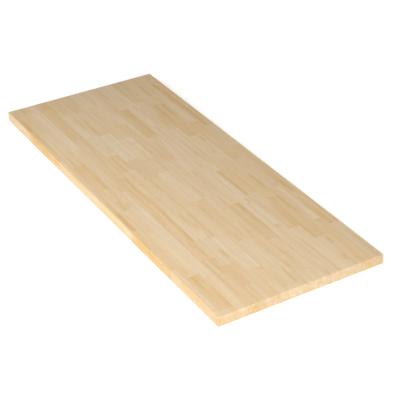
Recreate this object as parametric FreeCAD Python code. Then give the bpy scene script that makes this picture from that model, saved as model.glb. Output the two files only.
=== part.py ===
# A butcher block countertop: short blocks of pale hardwood, finger-jointed end to end into rows,
# the rows glued edge to edge, then the whole panel sawn to size and its edges eased.
# Frame: the origin is the centre of the underside, +X runs along the grain, +Y towards the
# wall edge and +Z up through the working face. All sizes are in millimetres.
import FreeCAD, Part
import math
import os

# The finished panel
LENGTH = 1524.0
WIDTH = 635.0
THICKNESS = 38.1
EDGE_EASE = 1.5  # narrow flat sanded onto every outer edge, measured along each face

# The glue lines and the finger joints
GLUE_LINE = 0.1
FINGER_COUNT = 5  # through the thickness
FINGER_LENGTH = 12.0
SHOULDER = 3.6  # square part of a joint, above and below its fingers
LEAST_OFFCUT = 20.0  # no joint falls closer than this to an end of the panel
LEAST_STRIP = 8.0  # a narrower strip isn't glued on: the row before it is left wider

# The rows, from the front edge to the wall edge: how wide the row is, then where its blocks
# end, measured from the left end of the panel. The same blocks come round again every REPEAT.
# The front row is what the saw left of a wider one.
REPEAT = 795.0
ROWS = [
    (22.0, [190, 445, 690]),
    (47.0, [64, 223, 508, 703]),
    (39.0, [78, 400, 537, 750]),
    (47.0, [72, 340, 456, 675]),
    (50.0, [150, 345, 512, 634]),
    (54.0, [155, 355, 574, 725]),
    (53.0, [138, 421, 602, 706]),
    (47.0, [129, 318, 651]),
    (47.0, [223, 465, 660, 789]),
    (45.0, [247, 401, 641, 757]),
    (49.0, [5, 194, 448]),
    (47.0, [251, 534, 738]),
    (43.0, [205, 446, 762]),
    (45.0, [43, 265, 493, 680]),
]


def row_strips():
    """The rows that fill the panel's width: (low y, high y, joints) from front to wall.

    The list starts again on a wider panel, and the last row is ripped to what is left."""
    strips = []
    front = 0.0
    while front < WIDTH:
        width, joints = ROWS[len(strips) % len(ROWS)]
        wall = front + width
        if WIDTH - wall < LEAST_STRIP:
            wall = WIDTH
        strips.append((front - WIDTH / 2, wall - WIDTH / 2, joints))
        front = wall
    return strips


def joints_along(joints):
    """Every joint of one row on this length of panel, as x in the frame."""
    found = []
    for turn in range(math.ceil(LENGTH / REPEAT)):
        for joint in joints:
            place = joint + turn * REPEAT
            if LEAST_OFFCUT <= place <= LENGTH - LEAST_OFFCUT:
                found.append(place - LENGTH / 2)
    return found


def finger_edge(x, glue):
    """The zigzag of one joint, as (x, z) points from the working face to the underside.

    With no glue it is the end that carries the fingers. With glue it is the socket round
    them, set back so that the same thickness of glue lies on the shoulders and the flanks."""
    pitch = (THICKNESS - 2 * SHOULDER) / FINGER_COUNT
    flank = math.hypot(FINGER_LENGTH, pitch / 2)
    root = x + glue * flank / (pitch / 2)
    mouth = (root - x - glue) * (pitch / 2) / FINGER_LENGTH
    points = [(x + glue, THICKNESS), (x + glue, THICKNESS - SHOULDER + mouth)]
    for finger in range(FINGER_COUNT):
        base = THICKNESS - SHOULDER - finger * pitch
        if finger:
            points.append((root, base))
        points.append((root + FINGER_LENGTH, base - pitch / 2))
    points += [(x + glue, SHOULDER - mouth), (x + glue, 0.0)]
    return points


def sawn_end(x):
    """A plain square end, as (x, z) points from the working face to the underside."""
    return [(x, THICKNESS), (x, 0.0)]


def block(left, right, front, wall):
    """One block between two end outlines, as deep as its row."""
    outline = right + left[::-1]
    corners = [FreeCAD.Vector(x, front, z) for x, z in outline]
    face = Part.Face(Part.makePolygon(corners + corners[:1]))
    return face.extrude(FreeCAD.Vector(0, wall - front, 0))


def eased_panel():
    """The outside of the finished panel, which trims every block that reaches it."""
    corner = FreeCAD.Vector(-LENGTH / 2, -WIDTH / 2, 0)
    panel = Part.makeBox(LENGTH, WIDTH, THICKNESS, corner)
    return panel.makeChamfer(EDGE_EASE, panel.Edges)


def row_blocks(strip, panel):
    """The blocks of one row, apart from each other by the glue line."""
    low, high, joints = strip
    front_row = low <= -WIDTH / 2
    wall_row = high >= WIDTH / 2
    front = low if front_row else low + GLUE_LINE / 2
    wall = high if wall_row else high - GLUE_LINE / 2
    places = joints_along(joints)
    left_ends = [sawn_end(-LENGTH / 2)] + [finger_edge(x, GLUE_LINE) for x in places]
    right_ends = [finger_edge(x, 0.0) for x in places] + [sawn_end(LENGTH / 2)]
    blocks = []
    for number, (left, right) in enumerate(zip(left_ends, right_ends)):
        solid = block(left, right, front, wall)
        if front_row or wall_row or number in (0, len(places)):
            solid = solid.common(panel).Solids[0]
        blocks.append(solid)
    return blocks


def main():
    os.makedirs("parts", exist_ok=True)
    panel = eased_panel()
    for number, strip in enumerate(row_strips(), start=1):
        row = Part.makeCompound(row_blocks(strip, panel))
        row.exportStep(f"parts/stave_row_{number:02d}.step")


main()
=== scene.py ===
import math
import random

import bmesh
import bpy
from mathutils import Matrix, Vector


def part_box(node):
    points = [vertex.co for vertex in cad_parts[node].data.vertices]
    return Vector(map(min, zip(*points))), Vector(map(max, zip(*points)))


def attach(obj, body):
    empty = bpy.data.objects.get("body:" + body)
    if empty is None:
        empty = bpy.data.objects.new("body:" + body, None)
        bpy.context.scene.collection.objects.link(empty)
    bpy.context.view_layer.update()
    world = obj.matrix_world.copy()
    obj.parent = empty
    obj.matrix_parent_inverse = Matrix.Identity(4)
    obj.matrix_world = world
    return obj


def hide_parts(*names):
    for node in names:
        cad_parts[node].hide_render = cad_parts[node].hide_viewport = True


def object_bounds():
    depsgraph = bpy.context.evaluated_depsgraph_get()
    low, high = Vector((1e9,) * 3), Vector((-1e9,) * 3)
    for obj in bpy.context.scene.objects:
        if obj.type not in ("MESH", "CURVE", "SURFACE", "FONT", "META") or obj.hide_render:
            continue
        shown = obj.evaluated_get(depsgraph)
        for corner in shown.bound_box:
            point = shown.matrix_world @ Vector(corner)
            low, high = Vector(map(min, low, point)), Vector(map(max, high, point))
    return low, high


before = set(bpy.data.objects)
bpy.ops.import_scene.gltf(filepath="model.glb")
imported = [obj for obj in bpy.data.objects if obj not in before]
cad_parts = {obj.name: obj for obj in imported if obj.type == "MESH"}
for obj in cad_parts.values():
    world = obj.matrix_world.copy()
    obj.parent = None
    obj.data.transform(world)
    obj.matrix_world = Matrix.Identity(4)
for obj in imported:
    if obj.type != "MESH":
        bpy.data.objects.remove(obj)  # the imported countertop: each node is one row of blocks
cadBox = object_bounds()
mm = 0.001
near = 0.01 * mm  # two places this close are taken as one

# The whole panel, in millimetres. Its outside comes from the imported model.
panel = {
    "repeat": 795,  # the same run of blocks comes round again after this much
    "leastOffcut": 20,  # no joint is nearer than this to an end
    "glueLine": 0.1,
    "edgeRound": 1.5,  # sanded onto every outer edge
    "roundSteps": 4,
    "smoothBelow": 35,  # degrees: edges flatter than this are shaded smooth
}

# The finger joints between two blocks of a row, in millimetres
fingers = {
    "count": 5,
    "reach": 12,
    "shoulder": 3.6,
    "play": 0.3,  # the socket lies this much further back than its shoulders
}

# Each row, from the front edge to the wall edge: where a block ends, in millimetres from the
# left end, and the shade of the block that ends there
blockRows = [
    [(190, "honey"), (445, "plain"), (690, "pale")],
    [(64, "plain"), (223, "plain"), (508, "pale"), (703, "tan")],
    [(78, "cream"), (400, "chalk"), (537, "cream"), (750, "pale")],
    [(72, "tan"), (340, "tan"), (456, "honey"), (675, "honey")],
    [(150, "pale"), (345, "cream"), (512, "milk"), (634, "tan")],
    [(155, "plain"), (355, "pale"), (574, "chalk"), (725, "plain")],
    [(138, "cream"), (421, "plain"), (602, "cream"), (706, "pale")],
    [(129, "milk"), (318, "pale"), (651, "plain")],
    [(223, "pale"), (465, "tan"), (660, "pale"), (789, "milk")],
    [(247, "cream"), (401, "cream"), (641, "milk"), (757, "milk")],
    [(5, "milk"), (194, "tan"), (448, "pale")],
    [(251, "honey"), (534, "toast"), (738, "milk")],
    [(205, "plain"), (446, "milk"), (762, "tan")],
    [(43, "plain"), (265, "tan"), (493, "tan"), (680, "pale")],
]

# How deep each shade lies between the palest sapwood, 0, and the deepest heartwood, 1
shades = {
    "chalk": 0.13,
    "cream": 0.20,
    "milk": 0.25,
    "pale": 0.30,
    "plain": 0.35,
    "honey": 0.41,
    "tan": 0.48,
    "toast": 0.55,
}

# Soft streaks in the wood: the row, from and to along it in millimetres, how far across the row
# (-1 its front side, 1 its wall side), half their width in millimetres, and how much deeper
# they are, or paler where that is below 0. A block takes those whose middle lies in it.
streaks = [
    (1, 40, 270, 0.3, 17, 0.37),
    (1, 110, 340, 0.3, 17, 0.20),
    (1, -900, 1535, -1.0, 5, 0.45),
    (1, 220, 915, -1.0, 4, 0.14),
    (1, 430, 560, -0.2, 12, -0.13),
    (1, 550, 1150, -1.0, 5, -0.16),
    (2, 785, 870, 0.4, 11, 0.32),
    (2, 430, 500, -0.3, 11, 0.20),
    (2, 460, 590, 0.0, 40, 0.16),
    (2, 570, 780, 0.8, 13, 0.28),
    (3, 680, 800, 0.5, 9, 0.27),
    (3, 810, 855, -0.8, 9, 0.42),
    (4, 640, 980, 0.7, 13, 0.09),
    (4, 30, 430, 0.75, 13, 0.19),
    (4, 345, 455, 0.4, 10, 0.15),
    (4, 440, 570, 0.4, 11, 0.20),
    (5, 790, 940, -0.8, 11, 0.28),
    (5, 100, 320, 0.6, 18, 0.35),
    (5, 425, 490, 0.7, 8, 0.42),
    (5, 490, 660, 0.85, 12, 0.04),
    (5, 550, 660, -0.6, 14, 0.05),
    (6, 690, 1010, -0.4, 11, 0.20),
    (6, 120, 400, -0.4, 14, 0.30),
    (7, 155, 265, -0.25, 9, 0.18),
    (7, 250, 430, 0.8, 11, 0.18),
    (7, 600, 740, 0.9, 11, 0.26),
    (8, 830, 940, -0.6, 9, 0.32),
    (8, 335, 415, -0.05, 8, 0.16),
    (8, 570, 645, 0.0, 9, 0.28),
    (9, 830, 920, -0.1, 14, 0.12),
    (9, 910, 1040, -0.7, 8, 0.19),
    (9, 120, 480, 0.85, 18, 0.35),
    (9, 350, 530, -0.6, 11, 0.06),
    (9, 460, 700, -0.6, 12, 0.22),
    (9, 745, 815, -0.2, 11, 0.46),
    (10, 780, 1000, -0.1, 6, 0.28),
    (10, 208, 248, 0.5, 7, 0.42),
    (10, 398, 430, 0.6, 8, 0.40),
    (10, 680, 775, -0.3, 7, 0.28),
    (11, -60, 220, -0.9, 11, 0.35),
    (11, 260, 510, 0.65, 26, 0.36),
    (11, 470, 810, -0.7, 8, 0.30),
    (12, 850, 1000, 0.72, 12, 0.36),
    (12, 190, 390, 0.9, 11, 0.25),
    (12, 280, 600, -0.8, 13, 0.10),
    (12, 543, 597, 0.5, 8, 0.42),
    (12, 645, 700, -0.2, 10, 0.50),
    (13, 150, 500, -0.9, 20, 0.26),
    (14, 80, 330, -0.5, 16, 0.30),
    (14, 250, 560, -0.5, 18, 0.20),
]

# A block with fewer than two streaks in the list gets faint ones by chance, between these limits
faintStreak = {
    "length": (60, 200),
    "across": (-0.9, 0.9),
    "halfWidth": (3, 8),
    "depth": (0, 0.12),
}

# The wood itself: sRGB colours, and the sizes of its figure in millimetres
wood = {
    "seed": 11,
    "sap": "#EBD6B8",
    "heart": "#D9AF68",
    "pore": "#B58C58",
    "glue": "#B99A6C",
    "ringSpacing": (3.5, 7.0),
    "pithDistance": (35, 150),
    "alongLog": (-50, 50),  # metres: where on its log a block was cut, so that no two look alike
    "lean": 0.015,  # how far the grain runs off the block's own line
    "wander": 6.0,
    "wanderSize": (350, 60, 60),
    "bandSize": (260, 16, 16),
    "fibreSize": (40, 0.9, 0.9),
    "poreSize": (7, 0.5, 0.5),
    "curlSize": (14, 50, 50),
    "raggedSize": (70, 10, 10),
    # How many finer layers each noise carries
    "detail": {"wander": 1.0, "ring": 1.5, "band": 2.0, "fibre": 2.0, "pore": 0.0, "curl": 1.0,
               "ragged": 2.0},
    "ringShare": 0.27,  # how much of the depth from sap to heart each part of the figure takes
    "lateShare": 0.05,
    "bandShare": 0.75,
    "fibreShare": 0.15,
    "lateSeason": (0.5, 1.0),  # the part of a year's growth in which the late line deepens
    "endFigure": 1.6,  # how much stronger all of it shows on the ends of the blocks
    "streakEnds": (0.35, 1.0),  # where a streak starts to fade and is gone, in half lengths
    "streakSides": (-0.35, 1.15),  # and in half widths
    "raggedShare": 1.8,
    "brightness": (0.985, 1.015),  # from the dullest block to the brightest
    # how strongly the curl's bars of painted sheen lighten and darken the colour
    "curlPaintedSheen": 0.10,
    "poreNoise": (0.62, 0.74),  # from the rim of a pore to its middle
    "poreShare": 0.35,
    "glueWidth": 0.6,
    "glueShare": 0.35,
    "relief": 0.05,
    "reliefStrength": 0.5,
    "roughness": (0.60, 0.74),
    "ior": 1.5,
    "sheen": 0.3,
}

# What the material reads of each block, the same at all its vertices
blockMarks = ("centre", "pith", "lean", "rings", "shade", "low", "high",
              "streakOne", "sizeOne", "streakTwo", "sizeTwo")


def linearColour(text):
    parts = [int(text[i:i + 2], 16) / 255 for i in (1, 3, 5)]
    return tuple(c / 12.92 if c <= 0.04045 else ((c + 0.055) / 1.055) ** 2.4 for c in parts) + (1.0,)


def addNode(tree, kind, settings=None, links=None):
    node = tree.nodes.new(kind)
    for name, value in (settings or {}).items():
        if isinstance(name, int) or name in node.inputs:
            node.inputs[name].default_value = value
        else:
            setattr(node, name, value)
    for name, source in (links or {}).items():
        socket = source.outputs[0] if isinstance(source, bpy.types.Node) else source
        tree.links.new(socket, node.inputs[name])
    return node


# How often a part of the figure comes in a metre: along, across and through the block
def timesPerMetre(part):
    return tuple(1 / (side * mm) for side in wood[part + "Size"])


# The place in the block, seen from the heart of its log: askew, and wandering a little
def grainPlace(tree, place, block):
    local = addNode(tree, "ShaderNodeVectorMath", {"operation": "SUBTRACT"},
                    {0: place, 1: block["centre"]})
    along = addNode(tree, "ShaderNodeSeparateXYZ", links={0: local}).outputs["X"]
    slope = addNode(tree, "ShaderNodeVectorMath", {"operation": "SCALE"},
                    {0: block["lean"], "Scale": along})
    leaned = addNode(tree, "ShaderNodeVectorMath", {"operation": "ADD"}, {0: local, 1: slope})
    grain = addNode(tree, "ShaderNodeVectorMath", {"operation": "ADD"}, {0: leaned, 1: block["pith"]})
    spread = addNode(tree, "ShaderNodeVectorMath",
                     {"operation": "MULTIPLY", 1: timesPerMetre("wander")}, {0: grain})
    wander = addNode(tree, "ShaderNodeTexNoise", {"Scale": 1.0, "Detail": wood["detail"]["wander"]},
                     {"Vector": spread}).outputs["Color"]
    centred = addNode(tree, "ShaderNodeVectorMath", {"operation": "SUBTRACT", 1: (0.5, 0.5, 0.5)},
                      {0: wander})
    swing = (0.0, 2 * wood["wander"] * mm, 2 * wood["wander"] * mm)
    bent = addNode(tree, "ShaderNodeVectorMath", {"operation": "MULTIPLY_ADD", 1: swing},
                   {0: centred, 2: grain})
    return leaned, bent


# Growth rings round the heart of the log: a broad uneven tone and a thin late line
def ringDepth(tree, bent, block):
    across = addNode(tree, "ShaderNodeVectorMath", {"operation": "MULTIPLY", 1: (0, 1, 1)}, {0: bent})
    radius = addNode(tree, "ShaderNodeVectorMath", {"operation": "LENGTH"}, {0: across}).outputs["Value"]
    yearsPerMetre = addNode(tree, "ShaderNodeSeparateXYZ", links={0: block["rings"]}).outputs["X"]
    years = addNode(tree, "ShaderNodeMath", {"operation": "MULTIPLY"}, {0: radius, 1: yearsPerMetre})
    tone = addNode(tree, "ShaderNodeTexNoise",
                   {"noise_dimensions": "1D", "Scale": 1.0, "Detail": wood["detail"]["ring"]},
                   {"W": years})
    season = addNode(tree, "ShaderNodeMath", {"operation": "FRACT"}, {0: years})
    start, stop = wood["lateSeason"]
    late = addNode(tree, "ShaderNodeMapRange",
                   {"interpolation_type": "SMOOTHSTEP", "From Min": start, "From Max": stop,
                    "To Max": wood["lateShare"]}, {"Value": season})
    return tone, late


# How much deeper the wood is in one of the block's streaks, whose edges are soft and ragged
def streakDepth(tree, leaned, ragged, middle, size):
    offset = addNode(tree, "ShaderNodeVectorMath", {"operation": "SUBTRACT"}, {0: leaned, 1: middle})
    inside = addNode(tree, "ShaderNodeVectorMath", {"operation": "DIVIDE"}, {0: offset, 1: size})
    reach = addNode(tree, "ShaderNodeVectorMath", {"operation": "ABSOLUTE"}, {0: inside})
    reach = addNode(tree, "ShaderNodeSeparateXYZ", links={0: reach})
    depth = addNode(tree, "ShaderNodeSeparateXYZ", links={0: middle}).outputs["Z"]
    for axis, (start, stop) in (("X", wood["streakEnds"]), ("Y", wood["streakSides"])):
        edge = addNode(tree, "ShaderNodeMath", {"operation": "ADD"}, {0: reach.outputs[axis], 1: ragged})
        fade = addNode(tree, "ShaderNodeMapRange",
                       {"interpolation_type": "SMOOTHSTEP", "From Min": start, "From Max": stop,
                        "To Min": 1.0, "To Max": 0.0}, {"Value": edge})
        depth = addNode(tree, "ShaderNodeMath", {"operation": "MULTIPLY"}, {0: depth, 1: fade})
    return depth


# The glue line: a thin darker edge round each block, on the faces that a joint comes out of
def glueShare(tree, place, block, turned):
    gaps = []
    for outer, inner in ((place, block["low"]), (block["high"], place)):
        gap = addNode(tree, "ShaderNodeVectorMath", {"operation": "SUBTRACT"}, {0: outer, 1: inner})
        gaps.append(addNode(tree, "ShaderNodeVectorMath", {"operation": "ABSOLUTE"}, {0: gap}))
    nearest = addNode(tree, "ShaderNodeVectorMath", {"operation": "MINIMUM"}, {0: gaps[0], 1: gaps[1]})
    nearest = addNode(tree, "ShaderNodeSeparateXYZ", links={0: nearest})
    toRow = addNode(tree, "ShaderNodeMath", {"operation": "ADD"},
                    {0: nearest.outputs["Y"], 1: turned.outputs["Y"]})
    toEnd = addNode(tree, "ShaderNodeMath", {"operation": "ADD"},
                    {0: nearest.outputs["X"], 1: turned.outputs["X"]})
    toEnd = addNode(tree, "ShaderNodeMath", {"operation": "ADD"}, {0: toEnd, 1: turned.outputs["Y"]})
    toGlue = addNode(tree, "ShaderNodeMath", {"operation": "MINIMUM"}, {0: toRow, 1: toEnd})
    return addNode(tree, "ShaderNodeMapRange",
                   {"interpolation_type": "SMOOTHSTEP", "From Max": wood["glueWidth"] * mm,
                    "To Min": wood["glueShare"], "To Max": 0.0}, {"Value": toGlue})


# Birch, planed and drum-sanded, left bare: creamy, close-grained, with a dull silky surface.
# Its figure is solid, so the top shows long bands, the long edges finer ones and the ends arcs.
def sandedBirch():
    material = bpy.data.materials.new("birch, planed and sanded")
    material.use_nodes = True
    tree = material.node_tree
    tree.nodes.clear()
    place = addNode(tree, "ShaderNodeTexCoord").outputs["Object"]
    block = {}
    for name in blockMarks:
        mark = addNode(tree, "ShaderNodeAttribute", {"attribute_name": "block_" + name})
        block[name] = mark.outputs["Vector"]
    leaned, bent = grainPlace(tree, place, block)
    noises = {}
    for part in ("band", "fibre", "pore", "curl", "ragged"):
        spread = addNode(tree, "ShaderNodeVectorMath",
                         {"operation": "MULTIPLY", 1: timesPerMetre(part)}, {0: bent})
        noises[part] = addNode(tree, "ShaderNodeTexNoise",
                               {"Scale": 1.0, "Detail": wood["detail"][part]}, {"Vector": spread})

    # One measure from pale sapwood to deep heartwood: the block's own shade and its figure
    own = addNode(tree, "ShaderNodeSeparateXYZ", links={0: block["shade"]})
    tone, figure = ringDepth(tree, bent, block)
    for noise, share in ((tone, wood["ringShare"]), (noises["band"], wood["bandShare"]),
                         (noises["fibre"], wood["fibreShare"])):
        lift = addNode(tree, "ShaderNodeMath", {"operation": "MULTIPLY_ADD", 1: share, 2: -share / 2},
                       {0: noise})
        figure = addNode(tree, "ShaderNodeMath", {"operation": "ADD"}, {0: figure, 1: lift})

    # The figure is stronger on the ends of the blocks, which face along the panel
    facing = addNode(tree, "ShaderNodeNewGeometry").outputs["True Normal"]
    turned = addNode(tree, "ShaderNodeVectorMath", {"operation": "ABSOLUTE"}, {0: facing})
    turned = addNode(tree, "ShaderNodeSeparateXYZ", links={0: turned})
    force = addNode(tree, "ShaderNodeMapRange", {"To Min": 1.0, "To Max": wood["endFigure"]},
                    {"Value": turned.outputs["X"]})
    depth = addNode(tree, "ShaderNodeMath", {"operation": "MULTIPLY_ADD"},
                    {0: figure, 1: force, 2: own.outputs["X"]})
    ragged = addNode(tree, "ShaderNodeMath",
                     {"operation": "MULTIPLY_ADD", 1: wood["raggedShare"], 2: -wood["raggedShare"] / 2},
                     {0: noises["ragged"]})
    for which in ("One", "Two"):
        extra = streakDepth(tree, leaned, ragged, block["streak" + which], block["size" + which])
        depth = addNode(tree, "ShaderNodeMath", {"operation": "ADD", "use_clamp": True},
                        {0: depth, 1: extra})
    colour = addNode(tree, "ShaderNodeMix",
                     {"data_type": "RGBA", 6: linearColour(wood["sap"]), 7: linearColour(wood["heart"])},
                     {0: depth}).outputs[2]

    # Curl: faint bars of painted sheen across the grain, light put into the colour, stronger in some blocks
    # than in others, on top of each block's own brightness
    curl = addNode(tree, "ShaderNodeMath",
                   {"operation": "MULTIPLY_ADD", 1: wood["curlPaintedSheen"], 2: -wood["curlPaintedSheen"] / 2},
                   {0: noises["curl"]})
    bright = addNode(tree, "ShaderNodeMath", {"operation": "MULTIPLY_ADD"},
                     {0: curl, 1: own.outputs["Z"], 2: own.outputs["Y"]})
    colour = addNode(tree, "ShaderNodeVectorMath", {"operation": "SCALE"},
                     {0: colour, "Scale": bright}).outputs[0]

    # Pores: short dark dashes along the grain, dots on the ends. Drawn twice as coarse as life.
    rim, core = wood["poreNoise"]
    pores = addNode(tree, "ShaderNodeMapRange",
                    {"interpolation_type": "SMOOTHSTEP", "From Min": rim, "From Max": core,
                     "To Max": wood["poreShare"]}, {"Value": noises["pore"]})
    for share, name in ((pores, "pore"), (glueShare(tree, place, block, turned), "glue")):
        colour = addNode(tree, "ShaderNodeMix", {"data_type": "RGBA", 7: linearColour(wood[name])},
                         {0: share, 6: colour}).outputs[2]

    # The fibres stand up a little from the sanded surface, and the pores lie in it
    height = addNode(tree, "ShaderNodeMath", {"operation": "SUBTRACT"}, {0: noises["fibre"], 1: pores})
    bump = addNode(tree, "ShaderNodeBump",
                   {"Strength": wood["reliefStrength"], "Distance": wood["relief"] * mm},
                   {"Height": height})
    silky, dull = wood["roughness"]
    rough = addNode(tree, "ShaderNodeMapRange", {"To Min": silky, "To Max": dull},
                    {"Value": noises["fibre"]})
    shader = addNode(tree, "ShaderNodeBsdfPrincipled",
                     {"IOR": wood["ior"], "Specular IOR Level": wood["sheen"]},
                     {"Base Color": colour, "Roughness": rough, "Normal": bump})
    addNode(tree, "ShaderNodeOutputMaterial", links={"Surface": shader})
    return material


def markBlock(block, marks):
    for name in blockMarks:
        layer = block.data.attributes.new("block_" + name, "FLOAT_VECTOR", "POINT")
        layer.data.foreach_set("vector", list(marks[name]) * len(block.data.vertices))


# Selects the vertices at these heights whose x lies in the span, and the edges between them
def selectPlaces(block, span, heights):
    shape = bmesh.from_edit_mesh(block.data)
    for vertex in shape.verts:
        atHeight = any(abs(vertex.co.z - height) < near for height in heights)
        vertex.select_set(atHeight and span[0] < vertex.co.x < span[1])
    shape.select_flush_mode()
    bmesh.update_edit_mesh(block.data)


# Each block of a row as (start, stop, shade), in millimetres from the left end
def blocksOfRow(number, length):
    blocks = []
    start = 0
    for turn in range(math.ceil(length / panel["repeat"]) + 1):
        for end, shade in blockRows[number - 1]:
            stop = end + turn * panel["repeat"]
            if stop < panel["leastOffcut"]:
                continue
            if stop > length - panel["leastOffcut"]:
                blocks.append((start, length, shade))
                return blocks
            blocks.append((start, stop, shade))
            start = stop


# One block: a cube, cut across at every finger, with the fingers then drawn out of its ends
def makeBlock(left, right, low, high, leftJoint, rightJoint):
    size = (right - left, high.y - low.y, high.z - low.z)
    centre = ((left + right) / 2, (low.y + high.y) / 2, (low.z + high.z) / 2)
    bpy.ops.mesh.primitive_cube_add(size=1, location=centre, scale=size)
    block = bpy.context.object
    bpy.ops.object.transform_apply(location=True, rotation=True, scale=True)
    bpy.ops.object.mode_set(mode="EDIT")
    steps = 2 * fingers["count"]
    step = (size[2] - 2 * fingers["shoulder"] * mm) / steps
    levels = [low.z + fingers["shoulder"] * mm + step * i for i in range(steps + 1)]
    for level in levels:
        bpy.ops.mesh.select_all(action="SELECT")
        bpy.ops.mesh.bisect(plane_co=(0, 0, level), plane_no=(0, 0, 1))
    tips = levels[1::2]
    if rightJoint:
        selectPlaces(block, (right - near, right + near), tips)
        bpy.ops.transform.translate(value=(fingers["reach"] * mm, 0, 0))
    if leftJoint:
        selectPlaces(block, (left - near, left + near), tips)
        bpy.ops.transform.translate(value=(fingers["reach"] * mm, 0, 0))
        selectPlaces(block, (left - near, centre[0]), levels[1:-1])
        bpy.ops.transform.translate(value=(fingers["play"] * mm, 0, 0))
    bpy.ops.object.mode_set(mode="OBJECT")
    return block, centre


# The sanded round on the edges of a block that lie on the outside of the panel
def easeEdges(block, whole):
    bpy.ops.object.mode_set(mode="EDIT")
    bpy.ops.mesh.select_mode(type="EDGE")
    shape = bmesh.from_edit_mesh(block.data)
    for edge in shape.edges:
        sides = 0
        for axis in range(3):
            for outside in (whole[0][axis], whole[1][axis]):
                sides += all(abs(vertex.co[axis] - outside) < near for vertex in edge.verts)
        edge.select_set(sides >= 2)
    bmesh.update_edit_mesh(block.data)
    if any(edge.select for edge in shape.edges):
        bpy.ops.mesh.bevel(offset=panel["edgeRound"] * mm, segments=panel["roundSteps"], affect="EDGES")
    bpy.ops.mesh.select_mode(type="VERT")
    bpy.ops.object.mode_set(mode="OBJECT")


# The two streaks of a block, each as (from, to, across, half width, depth): those of the list
# whose middle lies in the block, and faint ones by chance for the rest
def streaksOf(number, start, stop, chance):
    found = []
    for row, first, last, across, width, depth in streaks:
        for turn in (-1, 0, 1):
            shift = turn * panel["repeat"]
            if row == number and start < (first + last) / 2 + shift < stop:
                found.append((first + shift, last + shift, across, width, depth))
    for spare in range(2):
        first = chance.uniform(start, stop)
        last = first + chance.uniform(*faintStreak["length"])
        rest = [chance.uniform(*faintStreak[name]) for name in ("across", "halfWidth", "depth")]
        found.append((first, last, *rest))
    return found[:2]


def makeRow(number, material, whole, chance):
    node = f"stave_row_{number:02d}"
    low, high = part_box(node)
    length = (high.x - low.x) / mm
    blocks = blocksOfRow(number, length)
    made = []
    for start, stop, shade in blocks:
        left = low.x + start * mm + (panel["glueLine"] * mm if start > 0 else 0)
        right = low.x + stop * mm
        block, middle = makeBlock(left, right, low, high, start > 0, stop < length)
        easeEdges(block, whole)
        bearing = chance.uniform(0, 2 * math.pi)
        pith = chance.uniform(*wood["pithDistance"]) * mm
        # An outer side of the panel has no glue: there the block's limit is moved a metre off
        marks = {
            "centre": middle,
            "pith": (chance.uniform(*wood["alongLog"]), pith * math.cos(bearing), pith * math.sin(bearing)),
            "lean": (0, chance.uniform(-1, 1) * wood["lean"], chance.uniform(-1, 1) * wood["lean"]),
            "rings": (1 / (chance.uniform(*wood["ringSpacing"]) * mm), 0, 0),
            "shade": (shades[shade], chance.uniform(*wood["brightness"]), chance.random() ** 2),
            "low": (left if start > 0 else left - 1,
                    low.y if number > 1 else low.y - 1, 0),
            "high": (right if stop < length else right + 1,
                     high.y if number < len(blockRows) else high.y + 1, 0),
        }
        pair = streaksOf(number, start, stop, chance)
        for which, (first, last, across, width, depth) in zip(("One", "Two"), pair):
            streakX = low.x + (first + last) / 2 * mm - middle[0]
            marks["streak" + which] = (streakX, across * (high.y - low.y) / 2, depth)
            marks["size" + which] = ((last - first) / 2 * mm, width * mm, 1)
        markBlock(block, marks)
        made.append(block)
    bpy.ops.object.select_all(action="DESELECT")
    for block in made:
        block.select_set(True)
    bpy.context.view_layer.objects.active = made[0]
    bpy.ops.object.join()
    row = bpy.context.object
    bpy.ops.object.transform_apply(location=True, rotation=True, scale=True)
    bpy.ops.object.shade_smooth_by_angle(angle=math.radians(panel["smoothBelow"]))
    row.name = f"blocks_row_{number:02d}"
    row.data.materials.clear()
    row.data.materials.append(material)
    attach(row, "root")
    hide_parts(node)
    bpy.ops.object.select_all(action="DESELECT")
    return len(blocks)


bpy.ops.object.select_all(action="DESELECT")
birch = sandedBirch()
print("wood made")
dice = random.Random(wood["seed"])
count = sum(makeRow(number, birch, cadBox, dice) for number in range(1, len(blockRows) + 1))
print("blocks made:", count)

# The picture: a plain white floor, soft lamps and the camera
stage = {
    "floorSize": 40,
    "floorColour": "#F2F2F0",
    "floorGlow": (0.5, 1.0),  # near the panel, where its shadow shows, and far off
    "glowReach": (0.9, 1.8),  # metres from the middle
    "skyLight": 0.182,
}


# 1 for rays from the camera, and for those that a gloss or a glass sends on
def whiteToTheEye(tree):
    path = addNode(tree, "ShaderNodeLightPath")
    seen = path.outputs["Is Camera Ray"]
    for ray in ("Is Glossy Ray", "Is Transmission Ray"):
        seen = addNode(tree, "ShaderNodeMath", {"operation": "MAXIMUM"}, {0: seen, 1: path.outputs[ray]})
    return seen


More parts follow.
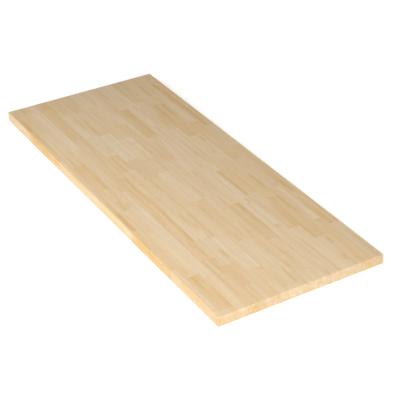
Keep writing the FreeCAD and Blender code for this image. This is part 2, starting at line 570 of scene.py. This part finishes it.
# Painted board, matt: it takes the shadow, and glows to the camera so that it reads as white
def mattWhite():
    material = bpy.data.materials.new("board, painted matt white")
    material.use_nodes = True
    tree = material.node_tree
    tree.nodes.clear()
    place = addNode(tree, "ShaderNodeTexCoord").outputs["Object"]
    away = addNode(tree, "ShaderNodeVectorMath", {"operation": "LENGTH"}, {0: place}).outputs["Value"]
    inner, outer = stage["glowReach"]
    least, most = stage["floorGlow"]
    level = addNode(tree, "ShaderNodeMapRange",
                    {"interpolation_type": "SMOOTHSTEP", "From Min": inner, "From Max": outer,
                     "To Min": least, "To Max": most}, {"Value": away})
    glow = addNode(tree, "ShaderNodeMath", {"operation": "MULTIPLY"}, {0: level, 1: whiteToTheEye(tree)})
    paint = addNode(tree, "ShaderNodeBsdfDiffuse", {"Color": linearColour(stage["floorColour"])})
    lamp = addNode(tree, "ShaderNodeEmission", links={"Strength": glow})
    both = addNode(tree, "ShaderNodeAddShader", links={0: paint, 1: lamp})
    addNode(tree, "ShaderNodeOutputMaterial", links={"Surface": both})
    return material


bpy.ops.mesh.primitive_plane_add(size=stage["floorSize"])
floor = bpy.context.object
floor.name = "floor"
floor.data.materials.append(mattWhite())

world = bpy.data.worlds.new("studio")
bpy.context.scene.world = world
world.use_nodes = True
sky = world.node_tree
sky.nodes.clear()
skyLevel = addNode(sky, "ShaderNodeMapRange", {"To Min": stage["skyLight"], "To Max": 1.0},
                   {"Value": whiteToTheEye(sky)})
skyShader = addNode(sky, "ShaderNodeBackground", {"Color": (1, 1, 1, 1)}, {"Strength": skyLevel})
addNode(sky, "ShaderNodeOutputWorld", links={"Surface": skyShader})
print("floor and sky made")

# Each lamp: where it stands, its size in metres and its power. All point at the panel's middle.
lamps = {
    "front": {"place": (-2.0, -5.0, 1.6), "size": 2.5, "watts": 92},
    "left": {"place": (-0.15, -1.8, 1.2), "size": 1.0, "watts": 13.7},
    "right": {"place": (5.5, -0.6, 1.6), "size": 2.5, "watts": 142},
    "top": {"place": (1.5, -1.2, 2.2), "size": 1.6, "watts": 35.8},
    "back": {"place": (-2.4, 2.8, 0.26), "size": 0.46, "watts": 29.5},
}
for name, lamp in lamps.items():
    bpy.ops.object.light_add(type="AREA", location=lamp["place"])
    light = bpy.context.object
    light.name = name
    light.data.size = lamp["size"]
    light.data.energy = lamp["watts"]
    light.rotation_euler = light.location.to_track_quat("Z", "Y").to_euler()

# The camera stands where the photograph's did, worked out from the panel's corners and edges
camera = {
    "place": (3.2544, -1.9260, 2.3428),
    "turn": (57.555, -0.050, 58.260),  # degrees
    "lens": 111.8,
    "sensor": 36,
}
turn = [math.radians(angle) for angle in camera["turn"]]
bpy.ops.object.camera_add(location=camera["place"], rotation=turn)
view = bpy.context.object
view.data.lens = camera["lens"]
view.data.sensor_width = camera["sensor"]
bpy.context.scene.camera = view
bpy.context.scene.view_settings.view_transform = "Standard"
print("lamps and camera placed")
